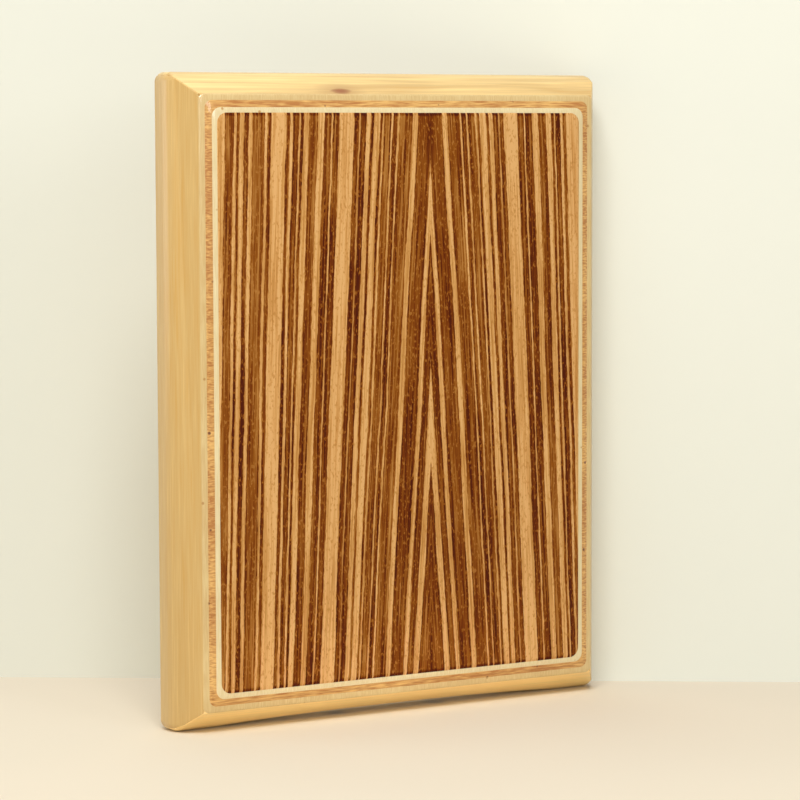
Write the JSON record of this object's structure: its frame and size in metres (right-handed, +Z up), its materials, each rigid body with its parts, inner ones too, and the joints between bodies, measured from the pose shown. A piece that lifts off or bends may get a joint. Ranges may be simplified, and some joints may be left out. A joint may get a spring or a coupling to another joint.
{
  "type": "lap cajon",
  "caption": "Flat box drum played on the lap: mitred batten frame with a sloped front, laminated striped playing plate, vented back panel and screw-tensioned snare strings inside.",
  "frame": {"origin": "middle of the underside, where the drum stands upright on the two ends of its bottom rail", "axes": "+X to the right seen from the playing face, +Y from the playing face to the back, +Z up along the stiles"},
  "size_m": [0.24, 0.0296, 0.31],
  "materials": {
    "batten_wood": "satin lacquer",
    "pale_ply": "satin lacquer",
    "core_ply": "satin lacquer",
    "striped_veneer": "satin lacquer",
    "panel_ply": "satin lacquer",
    "block_wood": "bare",
    "beech": "bare",
    "felt": "soft",
    "steel": "zinc plated",
    "black_steel": "black oxide",
    "brass": "plain",
    "alloy": "milled"
  },
  "bodies": {
    "drum": {"left_stile": "batten_wood", "right_stile": "batten_wood", "top_rail": "batten_wood", "bottom_rail": "batten_wood", "corner_block_top_left": "block_wood", "corner_block_top_right": "block_wood", "corner_block_bottom_left": "block_wood", "corner_block_bottom_right": "block_wood", "plate_back_ply": "pale_ply", "plate_core_ply": "core_ply", "plate_face_ply": "pale_ply", "striped_veneer": "striped_veneer", "back_panel": "panel_ply", "back_panel_screws": "steel", "string_anchor_bar": "beech", "anchor_bar_screws": "steel", "string_ball_ends": "brass", "upper_bridge_bar": "beech", "lower_bridge_bar": "beech", "upper_bridge_felt": "felt", "lower_bridge_felt": "felt", "snare_strings_left": "steel", "snare_strings_right": "steel", "screw_bush_left": "steel", "screw_bush_right": "steel"},
    "left_tension_screw": {"tension_screw_left": "black_steel"},
    "right_tension_screw": {"tension_screw_right": "black_steel"},
    "left_string_carriage": {"string_carriage_left": "alloy", "string_crimps_left": "brass"},
    "right_string_carriage": {"string_carriage_right": "alloy", "string_crimps_right": "brass"}
  },
  "joints": [
    {"name": "left_tension_screw_turn", "type": "hinge", "parent": "drum", "child": "left_tension_screw", "pos_m": [-0.028, 0.00495, 0], "axis": [0, 0, 1], "range_deg": [-1440, 1440]},
    {"name": "left_string_carriage_slide", "type": "slide", "parent": "drum", "child": "left_string_carriage", "axis": [0, 0, -1], "range_m": [-0.0028, 0.0028], "deforming": ["snare_strings_left"]},
    {"name": "right_tension_screw_turn", "type": "hinge", "parent": "drum", "child": "right_tension_screw", "pos_m": [0.028, 0.00495, 0], "axis": [0, 0, 1], "range_deg": [-1440, 1440]},
    {"name": "right_string_carriage_slide", "type": "slide", "parent": "drum", "child": "right_string_carriage", "axis": [0, 0, -1], "range_m": [-0.0028, 0.0028], "deforming": ["snare_strings_right"]}
  ],
  "couplings": [
    {"joint": "left_tension_screw_turn", "follows": "left_string_carriage_slide", "rad_per_m": 8975.9},
    {"joint": "right_tension_screw_turn", "follows": "right_string_carriage_slide", "rad_per_m": 8975.9}
  ]
}
